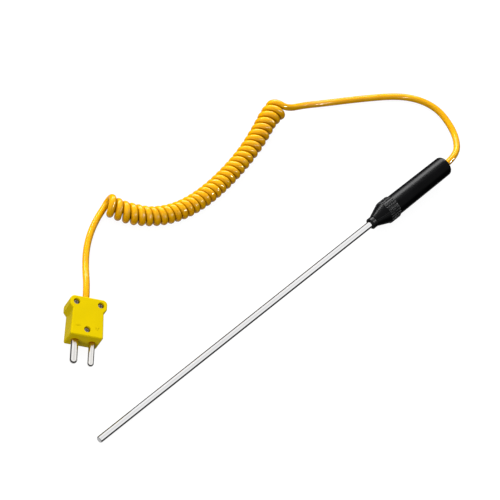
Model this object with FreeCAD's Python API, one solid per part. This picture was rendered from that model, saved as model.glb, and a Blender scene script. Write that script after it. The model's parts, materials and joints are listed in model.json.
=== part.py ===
import FreeCAD, Part
import math
import os

# Hand-held immersion thermocouple: a steel probe in a black handle, a curly cord and a round-pin plug.
# Millimetres. The probe lies along +X with its tip at -X, and Z = 0 is the surface that it rests on.
# It touches that surface at the rod's tip and at the knurled ring, so its axis rises gently to the butt.

# ---- driving dimensions: rod --------------------------------------------------------------------

ROD_R = 2.25                # sheath, outer radius
ROD_WALL = 0.5
ROD_EXPOSED = 250.0         # sheath in front of the nose
ROD_IN_HANDLE = 40.0
HELD_R = 2.05               # sheath inside the nose, turned down so that its shoulder stops there
HELD_SETBACK = 0.1          # from the nose's front face to the shoulder
CAP_LENGTH = 1.0
CAP_EDGE_R = 0.5
BEAD_R = 1.15               # hot junction
BEAD_AT = 2.2
WIRE_R = 0.35
WIRE_OFFSET = 0.8           # each wire's distance from the rod's axis
WIRE_STRAIGHT = 1.0         # beyond the sheath's end, before the wires spread
WIRE_SPREAD = 6.0           # from the sheath's end to where they run parallel again
SEAL_LENGTH = 4.0

# ---- driving dimensions: handle and nose --------------------------------------------------------

HANDLE_LENGTH = 72.5        # nose flange to butt
TUBE_R = 7.0                # at the shoulder
BUTT_R = 6.65               # at the butt
TUBE_BORE_R = 5.4
BUTT_WALL = 3.0
BUTT_EDGE_R = 2.0
NUT_LENGTH = 21.8
FLANGE_R = 3.8
FLANGE_LENGTH = 3.4
FLANGE_EDGE = 0.5           # chamfer around the front face
NECK_R = 3.45
NECK_LENGTH = 0.6
CONE_LENGTH = 9.2
CONE_END_R = 7.3
RING_R = 7.8
RING_CHAMFER = 0.6
RIB_COUNT = 26              # knurled ring
GROOVE_R = 0.62
GROOVE_LIFT = 0.05          # each groove's axis, outside the ring's surface
RIDGE_COUNT = 6             # raised ridges along the cone
RIDGE_PHASE = 24.7          # degrees from the top, towards -Y
RIDGE_HEIGHT = 0.45
RIDGE_END_HEIGHT = 0.3
RIDGE_WIDTH = 0.9
RIDGE_RISE = 0.5            # length of each ridge's sloping front
RIDGE_SUNK = 0.4            # into the cone, so that they are one solid
NOSE_WALL = 3.4             # solid front of the nut, in front of the slip ring
SLIP_RING_LENGTH = 0.9
SLIP_RING_R = 2.95
SLIP_RING_GAP = 0.02        # between the ring and the nut's wall
POCKET_R = 3.0
SEAT_START_R = 3.05         # inner cone that closes the collet
SEAT_END_R = 4.6
SEAT_LENGTH = 6.6
COLLET_LENGTH = 13.2
COLLET_TIP_R = 2.9
COLLET_R = 4.4
COLLET_SLOTS = 4
COLLET_SLOT_WIDTH = 0.6
COLLET_SETBACK = 0.1        # behind the slip ring
COLLET_GAP = 0.12           # around the taper, with the nut not yet tight
COLLAR_LENGTH = 4.2
NUT_GAP = 0.1               # between the nut's back face and the handle's shoulder
THREAD_R = 5.45             # crest of the handle's external thread
THREAD_PITCH = 1.5
THREAD_DEPTH = 0.5
THREAD_CREST = 0.1          # half the crest's width, in pitches
THREAD_FOOT = 0.35          # half the foot's width, in pitches
THREAD_RELIEF = 0.3         # plain part before the shoulder
NUT_BORE_R = 5.55           # crest of the nut's thread, drawn as a plain bore
SPIGOT_LENGTH = 9.2
SPIGOT_BORE_R = 4.5
SPIGOT_BORE_RUN = 2.0       # behind the shoulder, before the bore widens
FRONT_BORE_R = 2.33         # running clearance on the sheath

# ---- driving dimensions: joint between rod and cord ---------------------------------------------

SPLICE_OFFSET = 2.2         # each crimp barrel's distance from the axis
SPLICE_SETBACK = 8.0        # behind the sheath's end
SPLICE_LENGTH = 6.0
SPLICE_R = 1.1
JACKET_IN_HANDLE = 11.0
JACKET_CLEARANCE = 0.05
FERRULE_LENGTH = 6.0
FERRULE_R = 3.1
CORE_R = 0.75               # one insulated conductor
CORE_OFFSET = 0.95          # each core's distance from the cord's axis
CORE_STRAIGHT = 1.2         # at both ends of a core

# ---- driving dimensions: plug -------------------------------------------------------------------

PLUG_WIDTH = 21.2           # at the pin face
WAIST_WIDTH = 20.0          # in front of the ears
EAR_WIDTH = 24.0
PLUG_LENGTH = 27.0
PLUG_THICKNESS = 15.8
PLUG_WALL = 1.8
EAR_START = 18.0            # from the pin face
EAR_FULL = 20.6
EAR_CORNER_R = 3.0
RIM_R = 0.9                 # rounding around both broad faces
PIN_SPACING = 11.1
PIN_NEGATIVE_R = 2.4
PIN_POSITIVE_R = 2.0
PIN_LENGTH = 16.2
PIN_STEP = 0.4              # each pin is this much thinner inside the plug
PIN_NECK = 3.2              # from the pin face to the block
BLOCK_HALF_WIDTH = 2.6      # a pin's inner end
BLOCK_LENGTH = 9.0
BLOCK_HEIGHT = 5.4
TERMINAL_AT = 8.4           # from the pin face
TERMINAL_R = 1.4
TERMINAL_HEAD_R = 2.2
TERMINAL_HEAD_HEIGHT = 1.3
TERMINAL_TAIL = 0.3         # above mid thickness, where the screw ends
WASHER_R = 2.5
WASHER_THICKNESS = 0.3
EAR_SCREW_SPACING = 15.7
EAR_SCREW_AT = 22.9         # from the pin face
LOW_SCREW_AT = 4.9
SCREW_HEAD_R = 1.95
SCREW_HEAD_HEIGHT = 1.7
SCREW_HEAD_EDGE = 0.4       # rounding, as a share of the head's height
SCREW_R = 1.45
SCREW_HOLE_R = 1.6
SCREW_END_GAP = 0.6         # above the insert's bottom
RECESS_REACH = 0.55         # cross recess, as a share of the head's radius
RECESS_HALF_WIDTH = 0.28
RECESS_DEPTH = 1.0
COUNTERBORE_R = 2.1
COUNTERBORE_DEPTH = 3.3
INSERT_R = 2.1
INSERT_BOTTOM = 1.6
BOSS_WALL = 0.5             # around the low screw's insert
CAVITY_FROM = 2.4           # from the pin face
CAVITY_TO = 19.0
CAVITY_HALF_WIDTH = 8.4
THROAT_TO = 25.0
THROAT_HALF_WIDTH = 4.4
CLAMP_HALF_WIDTH = 4.3
CLAMP_FROM = 20.2
CLAMP_TO = 23.8
CLAMP_GAP = 0.4             # above the lower saddle
JACKET_IN_PLUG = 8.6
MARK_HEIGHT = 0.2           # raised plus and minus
MARK_DEPTH = 0.3            # sunk into the face
MARK_HALF_LENGTH = 1.3
MARK_HALF_WIDTH = 0.32
MARK_X = 6.2
MARK_Y = 7.0
PLUG_POSITION = (-126.5, 53.7)   # middle of the pin face
PLUG_HEADING = 222.9             # degrees, the way the pins point

# ---- driving dimensions: cord -------------------------------------------------------------------

CORD_R = 2.175
COIL_R = 6.75               # outside of the curly cord
ARC_SHARE = 0.45            # of the shorter run, taken by each arc

# Corner points of the runs, from the handle to the plug. Each is on the cord's centreline.
LEAD_ROUTE = [
    (161.22, 0.0, 9.03), (174.8, 0.1, 9.3), (186.4, 6.9, 6.6), (192.2, 18.6, 3.2), (192.4, 31.8, 2.2),
    (186.2, 45.0, 2.2), (175.0, 56.4, 2.2), (150.4, 70.0, 2.2), (128.0, 81.6, 2.3), (115.0, 87.0, 5.6),
    (105.4, 91.4, 9.4), (97.4, 96.8, 11.2),
]
COIL_ROUTE = [
    (-48.7, 116.3, 6.75), (-44.4, 106.7, 6.75), (-36.7, 96.8, 6.75), (-25.1, 87.6, 6.75),
    (-9.0, 81.4, 6.75), (12.0, 79.5, 6.75), (35.5, 81.4, 6.75), (57.5, 85.6, 6.75),
    (74.5, 90.9, 6.75), (87.5, 95.9, 6.75), (99.6, 96.9, 6.75),
]
TAIL_ROUTE = [
    (-47.0, 114.4, 2.2), (-57.0, 111.0, 2.2), (-68.5, 105.8, 2.2), (-79.2, 98.3, 2.2), (-89.2, 88.9, 4.0),
    (-98.3, 79.9, 7.9), (-106.721, 72.079, 7.9),
]

# ---- worked out from the driving dimensions -----------------------------------------------------

PROBE_LENGTH = ROD_EXPOSED + HANDLE_LENGTH
RING_FRONT = ROD_EXPOSED + FLANGE_LENGTH + NECK_LENGTH + CONE_LENGTH
RING_BACK = ROD_EXPOSED + NUT_LENGTH
SHOULDER = RING_BACK + NUT_GAP
SHEATH_END = ROD_EXPOSED + ROD_IN_HANDLE
RING_START = ROD_EXPOSED + NOSE_WALL
COLLET_START = RING_START + SLIP_RING_LENGTH + COLLET_SETBACK
SPLICE_START = SHEATH_END + SPLICE_SETBACK
SPLICE_END = SPLICE_START + SPLICE_LENGTH
JACKET_START = PROBE_LENGTH - JACKET_IN_HANDLE
TILT = math.atan2(RING_R - ROD_R, RING_FRONT + RING_CHAMFER)
AXIS = FreeCAD.Vector(1, 0, 0)
ORIGIN = FreeCAD.Vector(0, 0, 0)
MID_HEIGHT = PLUG_THICKNESS / 2
HEAD_BED = PLUG_THICKNESS - COUNTERBORE_DEPTH
BLOCK_TOP = MID_HEIGHT + BLOCK_HEIGHT / 2
BLOCK_BACK = PIN_NECK + BLOCK_LENGTH
SCREW_PLACES = [
    (-EAR_SCREW_SPACING / 2, EAR_SCREW_AT), (EAR_SCREW_SPACING / 2, EAR_SCREW_AT), (0.0, LOW_SCREW_AT),
]
OVER = 1.0                  # how far cutting tools run past a face
TINY = 1e-6


def save(name, shape):
    """Write one sub-part to its STEP file."""
    shape.exportStep("parts/" + name + ".step")
    print("%-24s volume %10.2f  solids %d  valid %s"
          % (name, shape.Volume, len(shape.Solids), shape.isValid()))


def on_probe(shape):
    """Move a shape from the probe's own axis, tip at the origin, to where the probe lies."""
    shape = shape.copy()
    shape.rotate(ORIGIN, FreeCAD.Vector(0, 1, 0), -math.degrees(TILT))
    shape.translate(FreeCAD.Vector(-PROBE_LENGTH / 2 * math.cos(TILT), 0, ROD_R * math.cos(TILT)))
    return shape


def in_plug(shape):
    """Move a shape from the plug's own frame to where the plug lies.

    In the plug's frame the pin face is at y = 0, the pins point to -Y and the front face is up.
    """
    shape = shape.copy()
    shape.rotate(ORIGIN, FreeCAD.Vector(0, 0, 1), PLUG_HEADING + 90)
    shape.translate(FreeCAD.Vector(PLUG_POSITION[0], PLUG_POSITION[1], 0))
    return shape


def rod(start, end, radius):
    """A cylinder along the probe's axis, from start to end."""
    return Part.makeCylinder(radius, end - start, FreeCAD.Vector(start, 0, 0), AXIS)


def tube(start, end, radius, bore):
    return rod(start, end, radius).cut(rod(start, end, bore))


def turned(profile):
    """Turn a closed outline of (axial, radial) points about the probe's axis."""
    points = [FreeCAD.Vector(s, 0, r) for s, r in profile]
    wire = Part.makePolygon(points + points[:1])
    return Part.Face(wire).revolve(ORIGIN, AXIS, 360)


def upright(radius, bottom, top, x=0.0, y=0.0):
    """A vertical cylinder in the plug's frame."""
    return Part.makeCylinder(radius, top - bottom, FreeCAD.Vector(x, y, bottom))


def block(x, y, z):
    """A box from three (low, high) pairs."""
    return Part.makeBox(x[1] - x[0], y[1] - y[0], z[1] - z[0], FreeCAD.Vector(x[0], y[0], z[0]))


def path_with_arcs(route, label=None):
    """Straight runs joined by tangent arcs, each as large as its two runs allow."""
    points = [FreeCAD.Vector(*p) for p in route]
    edges = []
    radii = []
    last = points[0]
    for before, corner, after in zip(points, points[1:], points[2:]):
        into = corner - before
        out = after - corner
        half_turn = into.getAngle(out) / 2
        cut = ARC_SHARE * min(into.Length, out.Length)
        radii.append(cut / math.tan(half_turn))
        into.normalize()
        out.normalize()
        start = corner - into * cut
        end = corner + out * cut
        inward = out - into
        inward.normalize()
        centre_distance = radii[-1] / math.cos(half_turn)
        middle = corner + inward * (centre_distance - radii[-1])
        edges.append(Part.LineSegment(last, start).toShape())
        edges.append(Part.Arc(start, middle, end).toShape())
        last = end
    edges.append(Part.LineSegment(last, points[-1]).toShape())
    wire = Part.Wire(edges)
    if label:
        print("%s radii" % label, " ".join("%.1f" % r for r in radii), " length %.1f" % wire.Length)
    return wire


def bent_rod(route, radius, label=None):
    """A round solid that follows a route of runs and arcs."""
    path = path_with_arcs(route, label)
    first = FreeCAD.Vector(*route[0])
    heading = FreeCAD.Vector(*route[1]) - first
    circle = Part.Wire(Part.Circle(first, heading, radius).toShape())
    solid = path.makePipeShell([circle], True, False)
    if label:
        expected = math.pi * radius ** 2 * path.Length
        print("%s volume / (section x length) = %.4f" % (label, solid.Volume / expected))
    return solid


# ---- the steel rod and what is packed inside it -------------------------------------------------

def sensor_nodes():
    inner_r = ROD_R - ROD_WALL
    shoulder = ROD_EXPOSED + HELD_SETBACK
    filling_end = SHEATH_END - SEAL_LENGTH
    cap = rod(0, CAP_LENGTH, ROD_R)
    tip_edge = [e for e in cap.Edges if e.Closed and abs(e.CenterOfMass.x) < TINY]
    cap = cap.makeFillet(CAP_EDGE_R, tip_edge)
    bead = Part.makeSphere(BEAD_R, FreeCAD.Vector(BEAD_AT, 0, 0))
    wires = {}
    for sign, name in ((1, "positive_wire"), (-1, "negative_wire")):
        route = [
            (BEAD_AT, sign * WIRE_OFFSET, 0), (SHEATH_END + WIRE_STRAIGHT, sign * WIRE_OFFSET, 0),
            (SHEATH_END + WIRE_SPREAD, sign * SPLICE_OFFSET, 0),
            (SPLICE_START + SPLICE_LENGTH / 2, sign * SPLICE_OFFSET, 0),
        ]
        wires[name] = bent_rod(route, WIRE_R).cut(bead)
    inside = [bead] + list(wires.values())
    filling = rod(CAP_LENGTH, filling_end, inner_r).cut(inside)
    seal = rod(filling_end, SHEATH_END, inner_r).cut(list(wires.values()))
    sheath = turned([
        (CAP_LENGTH, inner_r), (CAP_LENGTH, ROD_R), (shoulder, ROD_R), (shoulder, HELD_R),
        (SHEATH_END, HELD_R), (SHEATH_END, inner_r),
    ])
    nodes = {
        "sheath_tube": sheath,
        "sheath_end_cap": cap,
        "hot_junction": bead,
        "mineral_insulation": filling,
        "end_seal": seal,
    }
    nodes.update(wires)
    return nodes


# ---- the nose: nut, slip ring, collet and collar ------------------------------------------------

def cone_ridge(angle):
    """One raised ridge that lies along the cone, square to its surface."""
    start = ROD_EXPOSED + FLANGE_LENGTH + NECK_LENGTH
    end = RING_FRONT + RING_CHAMFER / 3
    outline = [
        (start, FLANGE_R - RIDGE_SUNK), (start + RIDGE_RISE, FLANGE_R + RIDGE_HEIGHT),
        (end, CONE_END_R + RIDGE_END_HEIGHT), (end, CONE_END_R - RIDGE_SUNK),
    ]
    points = [FreeCAD.Vector(s, -RIDGE_WIDTH / 2, r) for s, r in outline]
    side = Part.Face(Part.makePolygon(points + points[:1]))
    ridge = side.extrude(FreeCAD.Vector(0, RIDGE_WIDTH, 0))
    ridge.rotate(ORIGIN, AXIS, angle)
    return ridge


def nose_nut():
    flange_end = ROD_EXPOSED + FLANGE_LENGTH
    cone_start = flange_end + NECK_LENGTH
    seat_start = RING_START + SLIP_RING_LENGTH
    body = turned([
        (ROD_EXPOSED, 0), (ROD_EXPOSED, FLANGE_R - FLANGE_EDGE), (ROD_EXPOSED + FLANGE_EDGE, FLANGE_R),
        (flange_end - FLANGE_EDGE / 2, FLANGE_R), (flange_end, NECK_R), (cone_start, FLANGE_R),
        (RING_FRONT, CONE_END_R), (RING_FRONT + RING_CHAMFER, RING_R),
        (RING_BACK - RING_CHAMFER, RING_R), (RING_BACK, CONE_END_R), (RING_BACK, 0),
    ])
    grooves = []
    for i in range(RIB_COUNT):
        groove = Part.makeCylinder(
            GROOVE_R, NUT_LENGTH, FreeCAD.Vector(RING_FRONT, 0, RING_R + GROOVE_LIFT), AXIS)
        groove.rotate(ORIGIN, AXIS, (i + 0.5) * 360 / RIB_COUNT)
        grooves.append(groove)
    body = body.cut(grooves)
    ridges = [cone_ridge(RIDGE_PHASE + i * 360 / RIDGE_COUNT) for i in range(RIDGE_COUNT)]
    body = body.fuse(ridges)
    hollow = turned([
        (ROD_EXPOSED - OVER, 0), (ROD_EXPOSED - OVER, FRONT_BORE_R), (RING_START, FRONT_BORE_R),
        (RING_START, POCKET_R), (seat_start, POCKET_R), (seat_start, SEAT_START_R),
        (seat_start + SEAT_LENGTH, SEAT_END_R), (seat_start + SEAT_LENGTH, NUT_BORE_R),
        (RING_BACK + OVER, NUT_BORE_R), (RING_BACK + OVER, 0),
    ])
    return body.cut(hollow).removeSplitter()


def collet():
    """A bush that is split from its nose, so that the nut's inner cone closes it on the rod."""
    taper_end = COLLET_START + SEAT_LENGTH
    end = COLLET_START + COLLET_LENGTH
    seat_taper = (SEAT_END_R - SEAT_START_R) / SEAT_LENGTH
    taper_end_r = SEAT_END_R - seat_taper * COLLET_SETBACK - COLLET_GAP
    body = turned([
        (COLLET_START, HELD_R), (COLLET_START, COLLET_TIP_R), (taper_end, min(taper_end_r, COLLET_R)),
        (end, COLLET_R), (end, HELD_R),
    ])
    half_slot = COLLET_SLOT_WIDTH / 2
    slots = []
    for i in range(COLLET_SLOTS):
        slot = block((COLLET_START - OVER, taper_end), (-half_slot, half_slot), (0, TUBE_R))
        slot.rotate(ORIGIN, AXIS, (i + 0.5) * 360 / COLLET_SLOTS)
        slots.append(slot)
    return body.cut(slots)


def nose_nodes():
    collar_start = COLLET_START + COLLET_LENGTH
    ring_end = RING_START + SLIP_RING_LENGTH
    return {
        "nose_nut": nose_nut(),
        "slip_ring": tube(RING_START + SLIP_RING_GAP, ring_end, SLIP_RING_R, FRONT_BORE_R),
        "collet": collet(),
        "sheath_collar": tube(collar_start, collar_start + COLLAR_LENGTH, COLLET_R, HELD_R),
    }


# ---- the handle and the joint between rod and cord ----------------------------------------------

def handle_tube():
    spigot_start = SHOULDER - SPIGOT_LENGTH
    body = turned([(SHOULDER, 0), (SHOULDER, TUBE_R), (PROBE_LENGTH, BUTT_R), (PROBE_LENGTH, 0)])
    butt_edge = [e for e in body.Edges if e.Closed and abs(e.CenterOfMass.x - PROBE_LENGTH) < TINY]
    body = body.makeFillet(BUTT_EDGE_R, butt_edge)
    # The thread is drawn as rings at its pitch.
    core_r = THREAD_R - THREAD_DEPTH
    crest_half = THREAD_PITCH * THREAD_CREST
    foot_half = THREAD_PITCH * THREAD_FOOT
    outline = [(SHOULDER + OVER, 0), (spigot_start, 0), (spigot_start, core_r)]
    crest = spigot_start + THREAD_PITCH / 2
    while crest + THREAD_PITCH / 2 < SHOULDER - THREAD_RELIEF:
        outline += [
            (crest - foot_half, core_r), (crest - crest_half, THREAD_R),
            (crest + crest_half, THREAD_R), (crest + foot_half, core_r),
        ]
        crest += THREAD_PITCH
    outline += [(SHOULDER + OVER, core_r)]
    body = body.fuse(turned(outline))
    widening = SHOULDER + SPIGOT_BORE_RUN
    bore_end = PROBE_LENGTH - BUTT_WALL
    outlet_r = CORD_R + JACKET_CLEARANCE
    hollow = turned([
        (spigot_start - OVER, 0), (spigot_start - OVER, SPIGOT_BORE_R), (widening, SPIGOT_BORE_R),
        (widening + TUBE_BORE_R - SPIGOT_BORE_R, TUBE_BORE_R), (bore_end, TUBE_BORE_R),
        (bore_end, outlet_r), (PROBE_LENGTH + OVER, outlet_r), (PROBE_LENGTH + OVER, 0),
    ])
    return body.cut(hollow)


def splice(sign, wire):
    start = FreeCAD.Vector(SPLICE_START, sign * SPLICE_OFFSET, 0)
    return Part.makeCylinder(SPLICE_R, SPLICE_LENGTH, start, AXIS).cut(wire)


def handle_core(sign):
    """One insulated cord core, from the crimp barrel's end to the jacket's end."""
    route = [
        (SPLICE_END, sign * SPLICE_OFFSET, 0), (SPLICE_END + CORE_STRAIGHT, sign * SPLICE_OFFSET, 0),
        (JACKET_START - CORE_STRAIGHT, sign * CORE_OFFSET, 0), (JACKET_START, sign * CORE_OFFSET, 0),
    ]
    return bent_rod(route, CORE_R)


def handle_nodes(wires):
    ferrule_end = PROBE_LENGTH - BUTT_WALL
    return {
        "handle_tube": handle_tube(),
        "splice_positive": splice(1, wires["positive_wire"]),
        "splice_negative": splice(-1, wires["negative_wire"]),
        "handle_core_positive": handle_core(1),
        "handle_core_negative": handle_core(-1),
        "jacket_in_handle": rod(JACKET_START, PROBE_LENGTH, CORD_R),
        "cord_ferrule": tube(ferrule_end - FERRULE_LENGTH, ferrule_end, FERRULE_R, CORD_R),
    }


# ---- the plug -----------------------------------------------------------------------------------

def plug_outline_solid():
    """The plug's outer shape, with ears at the cord's end and rounded rims."""
    face = PLUG_WIDTH / 2
    waist = WAIST_WIDTH / 2
    ear = EAR_WIDTH / 2
    corners = [
        (-face, 0), (face, 0), (waist, EAR_START), (ear, EAR_FULL),
        (ear, PLUG_LENGTH), (-ear, PLUG_LENGTH), (-ear, EAR_FULL), (-waist, EAR_START),
    ]
    points = [FreeCAD.Vector(x, y, 0) for x, y in corners]
    body = Part.Face(Part.makePolygon(points + points[:1])).extrude(FreeCAD.Vector(0, 0, PLUG_THICKNESS))

    upright_edges = [e for e in body.Edges if e.BoundBox.ZLength > PLUG_THICKNESS / 2]
    body = body.makeFillet(EAR_CORNER_R, [e for e in upright_edges if e.CenterOfMass.y > PLUG_LENGTH - TINY])
    sharp = []
    for e in body.Edges:
        straight_up = e.BoundBox.XLength < TINY and e.BoundBox.YLength < TINY
        if straight_up and e.CenterOfMass.y < PLUG_LENGTH - EAR_CORNER_R - TINY:
            sharp.append(e)
    body = body.makeFillet(RIM_R, sharp)
    rims = [e for e in body.Edges if e.BoundBox.ZLength < TINY]
    return body.makeFillet(RIM_R, rims)


def plug_cavity():
    """The space for pin blocks, cores and cord, less the screws' bosses and the lower cord saddle."""
    low = PLUG_WALL
    high = PLUG_THICKNESS - PLUG_WALL
    room = block((-CAVITY_HALF_WIDTH, CAVITY_HALF_WIDTH), (CAVITY_FROM, CAVITY_TO), (low, high))
    throat = block((-THROAT_HALF_WIDTH, THROAT_HALF_WIDTH), (CAVITY_TO - OVER, THROAT_TO), (low, high))
    room = room.fuse(throat)
    boss = upright(INSERT_R + BOSS_WALL, 0, PLUG_THICKNESS, 0, LOW_SCREW_AT)
    saddle = block((-THROAT_HALF_WIDTH, THROAT_HALF_WIDTH), (CLAMP_FROM, CLAMP_TO), (0, MID_HEIGHT))
    return room.cut([boss, saddle])


def pin_axis_cylinder(x, radius, start, end):
    """A cylinder along the plug's length at mid thickness; start and end are measured from the pin face."""
    foot = FreeCAD.Vector(x, start, MID_HEIGHT)
    return Part.makeCylinder(radius, end - start, foot, FreeCAD.Vector(0, 1, 0))


def plug_halves():
    shell = plug_outline_solid().cut(plug_cavity())
    holes = [
        pin_axis_cylinder(PIN_SPACING / 2, PIN_POSITIVE_R - PIN_STEP, -OVER, PIN_NECK),
        pin_axis_cylinder(-PIN_SPACING / 2, PIN_NEGATIVE_R - PIN_STEP, -OVER, PIN_NECK),
        pin_axis_cylinder(0, CORD_R, CLAMP_FROM - OVER, PLUG_LENGTH + OVER),
    ]
    for x, y in SCREW_PLACES:
        holes.append(upright(COUNTERBORE_R, HEAD_BED, PLUG_THICKNESS + OVER, x, y))
        holes.append(upright(SCREW_HOLE_R, MID_HEIGHT, HEAD_BED + OVER, x, y))
        holes.append(upright(INSERT_R, INSERT_BOTTOM, MID_HEIGHT, x, y))
    shell = shell.cut(holes)
    wide = (-EAR_WIDTH, EAR_WIDTH)
    long = (-OVER, PLUG_LENGTH + OVER)
    lower = block(wide, long, (-OVER, MID_HEIGHT))
    upper = block(wide, long, (MID_HEIGHT, PLUG_THICKNESS + OVER))
    cover = shell.common(upper)
    return shell.common(lower), cover.fuse(polarity_marks()).removeSplitter()


def polarity_marks():
    """A raised plus beside the narrow pin and a raised minus beside the wide one."""
    height = (PLUG_THICKNESS - MARK_DEPTH, PLUG_THICKNESS + MARK_HEIGHT)

    def bar(x, half_x, half_y):
        return block((x - half_x, x + half_x), (MARK_Y - half_y, MARK_Y + half_y), height)

    minus = bar(-MARK_X, MARK_HALF_LENGTH, MARK_HALF_WIDTH)
    plus_bar = bar(MARK_X, MARK_HALF_LENGTH, MARK_HALF_WIDTH)
    plus_post = bar(MARK_X, MARK_HALF_WIDTH, MARK_HALF_LENGTH)
    return [minus, plus_bar, plus_post]


def pin(x, radius):
    """A round pin with a domed tip, whose shoulder stands on the plug's face.

    Inside the plug it has a thinner neck and a block that takes its wire.
    """
    shank = pin_axis_cylinder(x, radius, radius - PIN_LENGTH, 0)
    tip = Part.makeSphere(radius, FreeCAD.Vector(x, radius - PIN_LENGTH, MID_HEIGHT))
    neck = pin_axis_cylinder(x, radius - PIN_STEP, -OVER, PIN_NECK)
    inner = block((x - BLOCK_HALF_WIDTH, x + BLOCK_HALF_WIDTH), (PIN_NECK, BLOCK_BACK),
                  (MID_HEIGHT - BLOCK_HEIGHT / 2, BLOCK_TOP))
    body = shank.fuse([tip, neck, inner]).removeSplitter()
    hole = upright(TERMINAL_R, MID_HEIGHT, BLOCK_TOP + OVER, x, TERMINAL_AT)
    return body.cut(hole)


def cross_recess(x, y, top, reach):
    """The cross-shaped driver recess in a screw's head."""
    slim = RECESS_HALF_WIDTH
    height = (top - RECESS_DEPTH, top + OVER)
    bar = block((x - reach, x + reach), (y - slim, y + slim), height)
    post = block((x - slim, x + slim), (y - reach, y + reach), height)
    return bar.fuse(post)


def screw(x, y, seat, head_r, head_height, shank_r, bottom):
    """A pan-head screw whose head stands on its seat."""
    top = seat + head_height
    head = upright(head_r, seat, top, x, y)
    top_edge = [e for e in head.Edges if e.Closed and abs(e.CenterOfMass.z - top) < TINY]
    head = head.makeFillet(head_height * SCREW_HEAD_EDGE, top_edge)
    body = head.fuse(upright(shank_r, bottom, seat + head_height / 2, x, y)).removeSplitter()
    return body.cut(cross_recess(x, y, top, head_r * RECESS_REACH))


def plug_core(sign):
    """One insulated core, from the jacket's end to the back of its pin's block."""
    jacket_end = PLUG_LENGTH - JACKET_IN_PLUG
    near_jacket = sign * CORE_OFFSET
    at_pin = sign * PIN_SPACING / 2
    route = [
        (near_jacket, jacket_end, MID_HEIGHT), (near_jacket, jacket_end - CORE_STRAIGHT, MID_HEIGHT),
        (at_pin, BLOCK_BACK + CORE_STRAIGHT, MID_HEIGHT), (at_pin, BLOCK_BACK, MID_HEIGHT),
    ]
    return bent_rod(route, CORE_R)


def plug_nodes():
    base, cover = plug_halves()
    washer_top = BLOCK_TOP + WASHER_THICKNESS
    terminal_end = MID_HEIGHT + TERMINAL_TAIL
    terminal_screws = []
    washers = []
    for x in (-PIN_SPACING / 2, PIN_SPACING / 2):
        terminal_screws.append(screw(x, TERMINAL_AT, washer_top, TERMINAL_HEAD_R, TERMINAL_HEAD_HEIGHT,
                                     TERMINAL_R, terminal_end))
        washer = upright(WASHER_R, BLOCK_TOP, washer_top, x, TERMINAL_AT)
        washers.append(washer.cut(upright(TERMINAL_R, BLOCK_TOP, washer_top, x, TERMINAL_AT)))
    screw_end = INSERT_BOTTOM + SCREW_END_GAP
    screws = []
    inserts = []
    for x, y in SCREW_PLACES:
        screws.append(screw(x, y, HEAD_BED, SCREW_HEAD_R, SCREW_HEAD_HEIGHT, SCREW_R, screw_end))
        insert = upright(INSERT_R, INSERT_BOTTOM, MID_HEIGHT, x, y)
        inserts.append(insert.cut(upright(SCREW_R, INSERT_BOTTOM, MID_HEIGHT, x, y)))
    clamp = block((-CLAMP_HALF_WIDTH, CLAMP_HALF_WIDTH), (CLAMP_FROM, CLAMP_TO),
                  (MID_HEIGHT + CLAMP_GAP, PLUG_THICKNESS - PLUG_WALL))
    jacket = pin_axis_cylinder(0, CORD_R, PLUG_LENGTH - JACKET_IN_PLUG, PLUG_LENGTH)
    return {
        "plug_base": base,
        "plug_cover": cover,
        "pin_positive": pin(PIN_SPACING / 2, PIN_POSITIVE_R),
        "pin_negative": pin(-PIN_SPACING / 2, PIN_NEGATIVE_R),
        "terminal_screws": Part.makeCompound(terminal_screws),
        "terminal_washers": Part.makeCompound(washers),
        "cover_screws": Part.makeCompound(screws),
        "screw_inserts": Part.makeCompound(inserts),
        "cord_clamp": clamp.cut(jacket),
        "jacket_in_plug": jacket,
        "plug_core_positive": plug_core(1),
        "plug_core_negative": plug_core(-1),
    }


# ---- the cord -----------------------------------------------------------------------------------

def cord_nodes():
    return {
        "cord_lead": bent_rod(LEAD_ROUTE, CORD_R, "cord_lead"),
        "curly_cord": bent_rod(COIL_ROUTE, COIL_R, "curly_cord"),
        "cord_tail": bent_rod(TAIL_ROUTE, CORD_R, "cord_tail"),
    }


def main():
    os.makedirs("parts", exist_ok=True)
    sensor = sensor_nodes()
    probe = dict(sensor)
    probe.update(nose_nodes())
    probe.update(handle_nodes(sensor))
    for name, shape in probe.items():
        save(name, on_probe(shape))
    for name, shape in plug_nodes().items():
        save(name, in_plug(shape))
    for name, shape in cord_nodes().items():
        save(name, shape)


main()
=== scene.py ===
import json
import math

import bpy
from mathutils import Matrix, Vector


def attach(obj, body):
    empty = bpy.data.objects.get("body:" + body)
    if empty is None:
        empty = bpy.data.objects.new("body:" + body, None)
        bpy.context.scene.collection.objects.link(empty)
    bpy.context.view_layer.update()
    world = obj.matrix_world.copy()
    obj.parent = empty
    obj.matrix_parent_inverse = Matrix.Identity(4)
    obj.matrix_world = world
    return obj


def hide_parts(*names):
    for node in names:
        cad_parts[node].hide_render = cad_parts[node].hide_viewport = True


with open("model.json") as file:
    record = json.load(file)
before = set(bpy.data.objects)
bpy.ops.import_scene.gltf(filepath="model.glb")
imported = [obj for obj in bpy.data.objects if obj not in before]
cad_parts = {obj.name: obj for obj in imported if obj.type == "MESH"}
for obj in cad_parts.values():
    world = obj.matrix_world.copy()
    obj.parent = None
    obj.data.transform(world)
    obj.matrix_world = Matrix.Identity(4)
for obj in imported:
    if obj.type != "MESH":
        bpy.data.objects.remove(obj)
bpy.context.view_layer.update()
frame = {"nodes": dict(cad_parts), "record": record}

MM = 0.001

# ---- camera -------------------------------------------------------------------------------------

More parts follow.
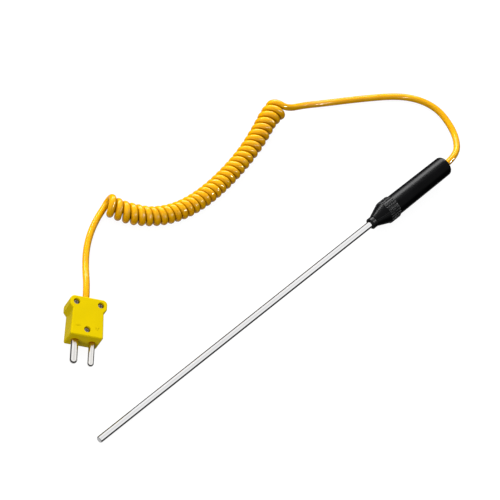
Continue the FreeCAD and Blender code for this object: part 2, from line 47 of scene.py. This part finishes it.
AIM = Vector((0.01302, 0.03577, 0.0))   # the point on the floor at the middle of the picture
CAMERA_DISTANCE = 3.002
CAMERA_HEADING = math.radians(192.36)   # from the object to the camera, about +Z from +X
CAMERA_ELEVATION = math.radians(57.79)
CAMERA_ROLL = math.radians(37.56)
SENSOR_WIDTH = 36.0
FOCAL_LENGTH = 339.95


def make_camera():
    towards = Vector((
        math.cos(CAMERA_ELEVATION) * math.cos(CAMERA_HEADING),
        math.cos(CAMERA_ELEVATION) * math.sin(CAMERA_HEADING),
        math.sin(CAMERA_ELEVATION),
    ))
    level = Vector((0, 0, 1)).cross(towards).normalized()
    upward = towards.cross(level)
    right = level * math.cos(CAMERA_ROLL) + upward * math.sin(CAMERA_ROLL)
    up = upward * math.cos(CAMERA_ROLL) - level * math.sin(CAMERA_ROLL)
    data = bpy.data.cameras.new("camera")
    data.sensor_width = SENSOR_WIDTH
    data.lens = FOCAL_LENGTH
    data.clip_start = 0.1
    data.clip_end = 50
    camera = bpy.data.objects.new("camera", data)
    turn = Matrix((right, up, towards)).transposed().to_4x4()
    camera.matrix_world = Matrix.Translation(AIM + towards * CAMERA_DISTANCE) @ turn
    bpy.context.scene.collection.objects.link(camera)
    bpy.context.scene.camera = camera


# ---- materials ----------------------------------------------------------------------------------

EDGE_WEAR_AND_HIGHLIGHT = 0.6                      # how far a sharp edge takes on the edge colour, for wear and painted highlight
EDGE_TURN = 0.9                 # cosine between the rounded and the plain normal at a sharp edge
EDGE_WIDTH = 3e-4
PAINTED_ROOT_SHADE_WIDTH = 5e-3              # metres of metal near what it is set into that get painted shade
CREVICE_WIDTH = 4e-3            # metres between two turns of cord that shade each other


class Finish:
    """A Principled material with short calls for the procedural detail that it needs."""

    def __init__(self, name, color, roughness, metallic=0.0, specular=0.5):
        self.material = bpy.data.materials.new(name)
        self.material.use_nodes = True
        self.nodes = self.material.node_tree.nodes
        self.links = self.material.node_tree.links
        self.shader = self.nodes["Principled BSDF"]
        self.color = color
        self.set("Base Color", (*color, 1))
        self.set("Roughness", roughness)
        self.set("Metallic", metallic)
        self.set("Specular IOR Level", specular)
        self.place = self.nodes.new("ShaderNodeTexCoord").outputs["Object"]
        self.normal = None

    def set(self, socket, value):
        self.shader.inputs[socket].default_value = value

    def noise(self, scale, detail=3.0, stretch=(1, 1, 1)):
        """A noise pattern, scale in repeats per metre, stretched by factors along X, Y and Z."""
        mapping = self.nodes.new("ShaderNodeMapping")
        mapping.inputs["Scale"].default_value = stretch
        self.links.new(self.place, mapping.inputs["Vector"])
        texture = self.nodes.new("ShaderNodeTexNoise")
        texture.inputs["Scale"].default_value = scale
        texture.inputs["Detail"].default_value = detail
        self.links.new(mapping.outputs["Vector"], texture.inputs["Vector"])
        return texture.outputs["Fac"]

    def between(self, factor, low, high, start=0.3, end=0.7):
        """Maps a pattern onto the range from low to high."""
        node = self.nodes.new("ShaderNodeMapRange")
        self.links.new(factor, node.inputs["Value"])
        node.inputs["From Min"].default_value = start
        node.inputs["From Max"].default_value = end
        node.inputs["To Min"].default_value = low
        node.inputs["To Max"].default_value = high
        return node.outputs["Result"]

    def tint(self, factor, other):
        """Varies the base colour towards another colour where the pattern is high."""
        mix = self.nodes.new("ShaderNodeMix")
        mix.data_type = "RGBA"
        mix.inputs[6].default_value = (*self.color, 1)
        mix.inputs[7].default_value = (*other, 1)
        self.links.new(self.between(factor, 0, 1, 0.35, 0.65), mix.inputs["Factor"])
        self.links.new(mix.outputs[2], self.shader.inputs["Base Color"])

    def over(self, other, share):
        """Lays another colour over what the base colour already is."""
        mix = self.nodes.new("ShaderNodeMix")
        mix.data_type = "RGBA"
        base = self.shader.inputs["Base Color"]
        self.links.new(base.links[0].from_socket, mix.inputs[6])
        mix.inputs[7].default_value = (*other, 1)
        self.links.new(share, mix.inputs["Factor"])
        self.links.new(mix.outputs[2], base)

    def wear_and_highlight(self, other, width):
        """Shifts the base colour towards another one along sharp edges: rubbed wear, and on the nut's
        ribs a painted highlight.
        """
        edge = self.nodes.new("ShaderNodeBevel")
        edge.inputs["Radius"].default_value = width
        edge.samples = 4
        flat = self.nodes.new("ShaderNodeNewGeometry")
        turn = self.nodes.new("ShaderNodeVectorMath")
        turn.operation = "DOT_PRODUCT"
        self.links.new(edge.outputs["Normal"], turn.inputs[0])
        self.links.new(flat.outputs["Normal"], turn.inputs[1])
        patchy = self.nodes.new("ShaderNodeMath")
        patchy.operation = "MULTIPLY"
        self.links.new(self.between(turn.outputs["Value"], EDGE_WEAR_AND_HIGHLIGHT, 0, EDGE_TURN, 1), patchy.inputs[0])
        self.links.new(self.between(self.noise(250, 2), 0.6, 1), patchy.inputs[1])
        self.over(other, patchy.outputs["Value"])

    def painted_crevice_shade(self, other, distance, closed=0.1, opened=0.85):
        """Painted shade: shifts the base colour towards another, darker one in crevices narrower than a
        distance.
        """
        crevice = self.nodes.new("ShaderNodeAmbientOcclusion")
        crevice.inputs["Distance"].default_value = distance
        crevice.samples = 8
        self.over(other, self.between(crevice.outputs["AO"], 1, 0, closed, opened))

    def rough(self, factor, low, high):
        self.links.new(self.between(factor, low, high), self.shader.inputs["Roughness"])

    def bump(self, factor, height, strength=1.0):
        """Raises the surface by up to height metres."""
        node = self.nodes.new("ShaderNodeBump")
        node.inputs["Distance"].default_value = height
        node.inputs["Strength"].default_value = strength
        self.links.new(factor, node.inputs["Height"])
        if self.normal is not None:
            self.links.new(self.normal, node.inputs["Normal"])
        self.normal = node.outputs["Normal"]
        self.links.new(self.normal, self.shader.inputs["Normal"])


def shade(color, factor):
    return tuple(c * factor for c in color)


def polished_steel(name, color, low, high):
    """Steel polished lengthwise: long fine draw lines along X and faint cloudiness."""
    f = Finish(name, color, low, metallic=1.0)
    lines = f.noise(1400, 3, (0.02, 1, 1))
    f.rough(f.noise(60, 3), low, high)
    f.tint(f.noise(500, 3, (0.04, 1, 1)), shade(color, 0.92))
    f.bump(lines, 1.5e-6, 0.4)
    return f.material


def plated_metal(name, color, low, high, mottle=0.85, painted_root_shade=None):
    """Plated or turned metal with faint tarnish and fine scuffs, and where given, painted brown shade
    near what it is set into.
    """
    f = Finish(name, color, low, metallic=1.0)
    f.rough(f.noise(400, 4), low, high)
    f.tint(f.noise(150, 3), shade(color, mottle))
    # Painted shade and reflection: brown near what the metal is set into, standing in for a shaded face
    # seen in it.
    if painted_root_shade:
        f.painted_crevice_shade(painted_root_shade, PAINTED_ROOT_SHADE_WIDTH, 0.55, 0.97)
    f.bump(f.noise(2500, 2), 5e-6, 0.4)
    return f.material


def moulded_plastic(name, color, low, high, grain=1.6e-5, specular=0.5, shift=0.9, wear_and_highlight=None):
    """Moulded plastic: fine grain, slow colour drift, uneven gloss and edges shifted towards another
    colour for wear and painted highlight.
    """
    f = Finish(name, color, low, specular=specular)
    f.rough(f.noise(180, 4), low, high)
    f.tint(f.noise(70, 2), shade(color, shift))
    f.bump(f.noise(3200, 2), grain, 0.5)
    if wear_and_highlight:
        f.wear_and_highlight(wear_and_highlight, EDGE_WIDTH)
    return f.material


def cord_rubber(name, color):
    """Glossy extruded polyurethane: slight waviness, fine streaks, a soft colour drift and painted shade
    where turns lie close.
    """
    f = Finish(name, color, 0.08, specular=0.16)
    f.rough(f.noise(500, 3), 0.05, 0.10)
    f.tint(f.noise(140, 2), (color[0] * 0.95, color[1] * 0.88, color[2]))
    # Painted shade: a darker, browner colour between the coil's close turns and under the cord.
    f.painted_crevice_shade((color[0] * 0.55, color[1] * 0.40, 0), CREVICE_WIDTH)
    f.bump(f.noise(240, 2), 4e-5, 0.3)
    f.bump(f.noise(2600, 2), 2e-6, 0.3)
    return f.material


def powder(name, color):
    """Packed mineral powder: matt, with fine grains."""
    f = Finish(name, color, 0.9)
    f.tint(f.noise(900, 4), shade(color, 0.85))
    f.bump(f.noise(2500, 4), 6e-5)
    return f.material


def resin(name, color):
    """Poured sealing resin: glossy, with a slightly uneven surface."""
    f = Finish(name, color, 0.15)
    f.tint(f.noise(300, 3), shade(color, 1.5))
    f.bump(f.noise(300, 2), 4e-5)
    return f.material


JACKET_COLOR = (0.55, 0.27, 0.0003)
YELLOW_COLOR = (0.535, 0.395, 0.0003)
BLACK_COLOR = (0.0008, 0.0008, 0.0010)


def slot_materials():
    """One material for each of the record's slots."""
    return {
        "sheath_steel": polished_steel("polished_sheath", (0.96, 0.96, 0.965), 0.05, 0.11),
        "alloy_wire": plated_metal("alloy_wire", (0.55, 0.52, 0.48), 0.3, 0.45),
        "mineral_powder": powder("mineral_powder", (0.82, 0.80, 0.75)),
        "sealing_resin": resin("sealing_resin", (0.10, 0.035, 0.012)),
        "inner_plastic": moulded_plastic("inner_plastic", (0.50, 0.47, 0.40), 0.4, 0.55),
        "brass": plated_metal("turned_brass", (0.72, 0.50, 0.20), 0.18, 0.32),
        "black_plastic": moulded_plastic(
            "black_handle", BLACK_COLOR, 0.24, 0.32, grain=7e-6, specular=0.05, shift=1.6,
            wear_and_highlight=(0.006, 0.006, 0.0065),
        ),
        # The nut's edges are painted far lighter than its plastic: a painted highlight along its ribs,
        # with some wear.
        "black_nut_plastic": moulded_plastic(
            "black_nut", BLACK_COLOR, 0.26, 0.34, grain=7e-6, specular=0.07, shift=1.6,
            wear_and_highlight=(0.03, 0.03, 0.031),
        ),
        "tinned_metal": plated_metal("tinned_metal", (0.70, 0.70, 0.68), 0.25, 0.4),
        "yellow_core": cord_rubber("yellow_core", (0.75, 0.52, 0.01)),
        "red_core": cord_rubber("red_core", (0.45, 0.01, 0.008)),
        "cord_jacket": cord_rubber("amber_jacket", JACKET_COLOR),
        "yellow_plastic": moulded_plastic(
            "yellow_plug", YELLOW_COLOR, 0.34, 0.46, grain=6e-6, specular=0.015, shift=0.95,
            wear_and_highlight=(0.60, 0.45, 0.002),
        ),
        # The pins' roots get painted brown shade, standing in for their reflection of the plug's shaded
        # face.
        "pin_metal": plated_metal(
            "nickel_pin", (0.94, 0.92, 0.89), 0.06, 0.14, mottle=0.95, painted_root_shade=(0.42, 0.17, 0.01),
        ),
        "screw_steel": plated_metal("zinc_screw", (0.36, 0.31, 0.27), 0.10, 0.20),
    }


# ---- the cord: lead, curly coil and tail on one spline ------------------------------------------

CORD_DIAMETER = 4.35 * MM

LEAD_ROUTE = [
    (161.22, 0.0, 9.03), (173.2, 0.1, 8.9), (184.0, 8.4, 5.6), (190.0, 20.0, 2.9), (191.4, 33.0, 2.2),
    (185.6, 45.5, 2.2), (174.0, 56.6, 2.2), (150.4, 70.0, 2.2), (128.5, 81.4, 2.2), (115.8, 87.4, 4.0),
    (108.8, 89.5, 6.4), (102.9, 91.0, 9.0), (97.4, 93.5, 12.2),
]
TAIL_ROUTE = [
    (-57.0, 111.0, 2.2), (-68.5, 105.8, 2.2), (-79.2, 98.3, 2.2), (-89.2, 88.9, 4.0),
    (-98.3, 79.9, 7.9), (-106.721, 72.079, 7.9),
]
COIL_ROUTE = [
    (-48.7, 116.3, 0), (-44.4, 106.7, 0), (-36.7, 96.8, 0), (-25.1, 87.6, 0), (-9.0, 81.4, 0),
    (12.0, 79.5, 0), (35.5, 81.4, 0), (57.5, 85.6, 0), (74.5, 90.9, 0), (87.5, 95.9, 0), (99.6, 96.9, 0),
]
COIL_START = 162.5 * MM          # along the coil's route from the plug's end to the first turn's top
COIL_END = 2.9 * MM              # and to the last half turn
COIL_TURNS = 32.5
COIL_THICKER = 1.08              # the wound cord is squeezed a little thicker than its leads
POINTS_PER_TURN = 14
PITCH_SWING = 0.06               # the pitch varies by this share either way along the coil
PITCH_SWING_AT = 0.65            # share of the way at which the turns are closest
# The coil's outer radius: share of the way from the handle's end, millimetres.
COIL_PROFILE = [(0, 7.5), (0.1, 6.65), (0.3, 6.4), (0.8, 6.4), (0.9, 6.95), (0.96, 7.05), (1.0, 7.5)]
# How far each turn leans: its near side lies this much closer to the handle than its middle.
COIL_LEAN = [(0, 1.2), (0.1, 0.8), (0.5, 0.6), (0.8, 0.4), (1.0, 0.3)]
FRONT_SHARE = 0.524              # share of the lean by which a whole turn is shifted towards the plug


def metres(route):
    """A route's points in metres."""
    return [Vector(p) * MM for p in route]


def spline_curve(name, points, bevel=0.0, thicker=()):
    """A smooth open curve through control points. Those with an index in thicker are a little fatter."""
    data = bpy.data.curves.new(name, "CURVE")
    data.dimensions = "3D"
    data.resolution_u = 6
    data.bevel_depth = bevel
    data.bevel_resolution = 6
    data.use_fill_caps = True
    spline = data.splines.new("NURBS")
    spline.points.add(len(points) - 1)
    for slot, point in zip(spline.points, points):
        slot.co = (*point, 1)
    for i in thicker:
        spline.points[i].radius = COIL_THICKER
    spline.order_u = 3
    spline.use_endpoint_u = True
    obj = bpy.data.objects.new(name, data)
    bpy.context.scene.collection.objects.link(obj)
    return obj


def points_on(route):
    """Points along the smooth line of a route, close together."""
    guide = spline_curve("guide", route)
    guide.data.resolution_u = 40
    bpy.context.view_layer.update()
    mesh = bpy.data.meshes.new_from_object(guide)
    points = [v.co.copy() for v in mesh.vertices]
    bpy.data.objects.remove(guide)
    bpy.data.meshes.remove(mesh)
    return points


def point_and_heading(points, distance):
    """The point at a distance along a line of points, and the way the line runs there."""
    for a, b in zip(points, points[1:]):
        step = (b - a).length
        if distance <= step or b is points[-1]:
            heading = (b - a).normalized()
            return a + heading * distance, heading
        distance -= step


def eased(profile, share):
    """A value in metres, eased between a profile's entries."""
    for (start, low), (end, high) in zip(profile, profile[1:]):
        if share <= end:
            part = (share - start) / (end - start)
            return (low + (high - low) * part * part * (3 - 2 * part)) * MM
    return profile[-1][1] * MM


def helix_points():
    """Right-handed turns from the handle's end to the plug's end, each resting on the floor."""
    axis = points_on(metres(COIL_ROUTE))
    total = COIL_START - COIL_END
    steps = round(COIL_TURNS * POINTS_PER_TURN)
    phase = 2 * math.pi * PITCH_SWING_AT
    found = []
    for i in range(steps + 1):
        share = i / steps
        swing = math.sin(2 * math.pi * share - phase) + math.sin(phase)
        distance = COIL_START - total * (share - PITCH_SWING / (2 * math.pi) * swing)
        angle = 2 * math.pi * i / POINTS_PER_TURN
        distance -= eased(COIL_LEAN, share) * (math.sin(angle) + FRONT_SHARE)
        centre, heading = point_and_heading(axis, distance)
        outside = eased(COIL_PROFILE, share)
        size = (outside - CORD_DIAMETER * COIL_THICKER / 2) / math.cos(math.pi / POINTS_PER_TURN)
        side = Vector((0, 0, 1)).cross(heading)
        up = Vector((0, 0, outside + size * math.cos(angle)))
        found.append(centre + up + side * size * math.sin(angle))
    return found


def make_cord(materials):
    """The whole cord as one spline, standing in for its three plain CAD solids."""
    lead, coil, tail = metres(LEAD_ROUTE), helix_points(), metres(TAIL_ROUTE)
    wound = range(len(lead) + 1, len(lead) + len(coil) - 1)
    cord = spline_curve("curly_cord_and_leads", lead + coil + tail, CORD_DIAMETER / 2, wound)
    cord.data.materials.append(materials["cord_jacket"])
    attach(cord, "probe")
    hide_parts("cord_lead", "curly_cord", "cord_tail")
    return cord


# ---- materials on the CAD nodes -----------------------------------------------------------------

def dress_nodes(materials):
    """Gives each CAD node the material of its slot in the record."""
    for row in frame["record"]["subparts"]:
        node = frame["nodes"][row["node"]]
        for slot in node.material_slots:
            slot.material = materials[row["material_slot"]]


# ---- floor and light ----------------------------------------------------------------------------

FLOOR_REACH = 6.0
PAPER_COLOR = (0.14, 0.14, 0.14)
PAPER_GLOW = 0.90               # the sheet's own light, which keeps its white even


def make_floor():
    """A plain pale sheet on which the object lies."""
    mesh = bpy.data.meshes.new("floor")
    near, far = -FLOOR_REACH, FLOOR_REACH
    corners = [(near, near, 0), (far, near, 0), (far, far, 0), (near, far, 0)]
    mesh.from_pydata(corners, [], [(0, 1, 2, 3)])
    floor = bpy.data.objects.new("floor", mesh)
    bpy.context.scene.collection.objects.link(floor)
    paper = Finish("white_paper", PAPER_COLOR, 0.9, specular=0.0)
    paper.bump(paper.noise(40, 2), 1e-5)
    paper.set("Emission Color", (1, 1, 1, 1))
    paper.set("Emission Strength", PAPER_GLOW)
    mesh.materials.append(paper.material)
    # Glossy and diffuse rays see the darker room below instead, so that edges stay crisp.
    floor.visible_glossy = False
    floor.visible_diffuse = False


def light_only(lamp, objects, state):
    """Limits a lamp to some objects, or keeps it off them."""
    group = bpy.data.collections.new(lamp.name + "_receivers")
    for obj in objects:
        group.objects.link(obj)
    for entry in group.collection_objects:
        entry.light_linking.link_state = state
    lamp.light_linking.receiver_collection = group


LIT_POINT = Vector((0.02, 0.04, 0))
SOFTBOX_DISTANCE = 1.8
SPARK_DISTANCE = 1.5


def make_softbox(name, direction, distance, width, height, power):
    """An area light that shines on the middle of the object from a direction."""
    data = bpy.data.lights.new(name, "AREA")
    data.shape = "RECTANGLE"
    data.size = width
    data.size_y = height
    data.energy = power
    lamp = bpy.data.objects.new(name, data)
    towards = Vector(direction).normalized()
    lamp.rotation_euler = towards.to_track_quat("Z", "Y").to_euler()
    lamp.location = LIT_POINT + towards * distance
    bpy.context.scene.collection.objects.link(lamp)
    return lamp


SKY_LIGHT = 0.97                # brightness of the sky between the dark band and the top
ZENITH_DROP = 0.17              # how much darker the sky is straight above
DARK_LIGHT = 0.02               # around the horizon
GROUND_LIGHT = 0.45             # straight below
HORIZON_FROM = 0.0              # height of a unit direction at which the sky begins
HORIZON_TO = 0.36               # and has its full light
SKY_TILT = 0.18                 # the sky begins lower at the back and higher at the front
ZENITH_FROM = 0.76              # heights between which it dims towards the top
ZENITH_TO = 0.83
GROUND_FROM = -0.6              # heights between which the ground's light begins
GROUND_TO = -0.8


def make_world():
    """A pale sky, a dark band around the horizon and a pale ground below it."""
    world = bpy.data.worlds.new("studio")
    bpy.context.scene.world = world
    world.use_nodes = True
    nodes = world.node_tree.nodes
    links = world.node_tree.links
    place = nodes.new("ShaderNodeTexCoord")
    split = nodes.new("ShaderNodeSeparateXYZ")
    links.new(place.outputs["Generated"], split.inputs["Vector"])

    tilted = nodes.new("ShaderNodeMath")
    tilted.operation = "MULTIPLY_ADD"
    links.new(split.outputs["Y"], tilted.inputs[0])
    tilted.inputs[1].default_value = SKY_TILT
    links.new(split.outputs["Z"], tilted.inputs[2])

    def step(height, start, end, low, high):
        ramp = nodes.new("ShaderNodeMapRange")
        ramp.interpolation_type = "SMOOTHSTEP"
        links.new(height, ramp.inputs["Value"])
        ramp.inputs["From Min"].default_value = start
        ramp.inputs["From Max"].default_value = end
        ramp.inputs["To Min"].default_value = low
        ramp.inputs["To Max"].default_value = high
        return ramp.outputs["Result"]

    sky = nodes.new("ShaderNodeMath")
    edge = step(tilted.outputs["Value"], HORIZON_FROM, HORIZON_TO, DARK_LIGHT, SKY_LIGHT)
    links.new(edge, sky.inputs[0])
    links.new(step(split.outputs["Z"], ZENITH_FROM, ZENITH_TO, 0, -ZENITH_DROP), sky.inputs[1])
    total = nodes.new("ShaderNodeMath")
    links.new(sky.outputs["Value"], total.inputs[0])
    links.new(step(split.outputs["Z"], GROUND_TO, GROUND_FROM, GROUND_LIGHT, 0), total.inputs[1])
    nodes["Background"].inputs["Color"].default_value = (1, 1, 1, 1)
    links.new(total.outputs["Value"], nodes["Background"].inputs["Strength"])


def make_light(cord):
    """Soft light from behind, a fill, and lamps that reach only the black pieces or the cord."""
    make_world()
    nodes = frame["nodes"]
    key = make_softbox("back_softbox", (0.5, 0.78, 0.42), SOFTBOX_DISTANCE, 2.4, 0.7, 64)
    # Its reflection would burn out the dark line along the rod.
    bright_metal = ("sheath_tube", "sheath_end_cap", "pin_positive", "pin_negative")
    light_only(key, [nodes[name] for name in bright_metal], "EXCLUDE")

    fill = make_softbox("left_fill", (-0.85, -0.05, 0.4), SOFTBOX_DISTANCE, 1.2, 1.2, 14)
    fill.visible_glossy = False

    strip = make_softbox("handle_strip", (0.5, 0.80, 0.34), SOFTBOX_DISTANCE, 2.4, 1.0, 105)
    light_only(strip, [nodes["handle_tube"], nodes["nose_nut"]], "INCLUDE")
    ribs = make_softbox("rib_light", (0.52, -0.16, 0.84), SOFTBOX_DISTANCE, 0.3, 0.3, 26)
    light_only(ribs, [nodes["nose_nut"]], "INCLUDE")

    cord_key = make_softbox("cord_key", (-0.1, 0.85, 0.5), SOFTBOX_DISTANCE, 1.0, 1.0, 24)
    cord_key.visible_glossy = False
    light_only(cord_key, [cord], "INCLUDE")
    # Small lamps that only put glints on the glossy cord.
    for i, direction in enumerate(((0.72, -0.51, 0.45), (0.35, -0.60, 0.65), (-0.02, -0.65, 0.77))):
        spark = make_softbox(f"spark_{i}", direction, SPARK_DISTANCE, 0.12, 0.32, 26)
        spark.visible_diffuse = False
        light_only(spark, [cord], "INCLUDE")
    bpy.context.scene.view_settings.view_transform = "Standard"


make_camera()
slot_finishes = slot_materials()
cord_object = make_cord(slot_finishes)
dress_nodes(slot_finishes)
make_floor()
make_light(cord_object)
